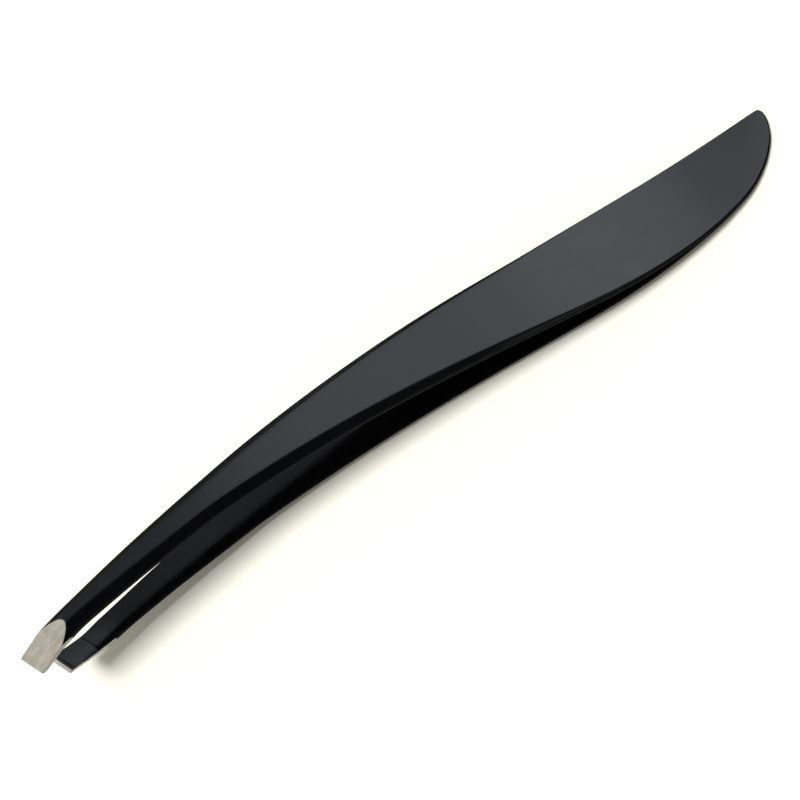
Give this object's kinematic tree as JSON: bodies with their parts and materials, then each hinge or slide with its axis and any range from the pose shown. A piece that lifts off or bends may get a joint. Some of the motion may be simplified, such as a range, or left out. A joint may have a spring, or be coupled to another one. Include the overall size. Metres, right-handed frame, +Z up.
{
  "type": "slant tweezers",
  "caption": "Slant-tip tweezers: two curved black-lacquered steel arms joined face to face at a rounded tail, with ground bare-steel slanted tips.",
  "frame": {"origin": "middle of the footprint, on the surface that the tweezers lie on", "axes": "+X from the tips to the tail, +Y across the arms towards the convex edge of the tip half, +Z up; the pair lies on the lower arm's belly and tail, so its middle plane is tilted 5.8 degrees about Y, tips up"},
  "size_m": [0.0972, 0.0112, 0.0156],
  "materials": {
    "black_lacquer": "high gloss black lacquer over steel",
    "bare_steel": "ground bare stainless steel, fine scratches along the tip"
  },
  "bodies": {
    "tail": {"upper_arm_root": "black_lacquer", "lower_arm_root": "black_lacquer", "spot_weld_1": "bare_steel", "spot_weld_2": "bare_steel"},
    "upper_arm": {"upper_arm_blade": "black_lacquer", "upper_arm_tip": "bare_steel"},
    "lower_arm": {"lower_arm_blade": "black_lacquer", "lower_arm_tip": "bare_steel"}
  },
  "joints": [
    {"name": "upper_arm_flex", "type": "hinge", "parent": "tail", "child": "upper_arm", "pos_m": [0.01831, 0.00052, 0.0062], "axis": [0, -1, 0], "range_deg": [0, 2.22], "stiffness_Nm_per_rad": 2},
    {"name": "lower_arm_flex", "type": "hinge", "parent": "tail", "child": "lower_arm", "pos_m": [0.01775, 0.00052, 0.00073], "axis": [0, 1, 0], "range_deg": [0, 2.22], "stiffness_Nm_per_rad": 2}
  ],
  "couplings": [
    {"joint": "lower_arm_flex", "follows": "upper_arm_flex", "ratio": 1}
  ]
}
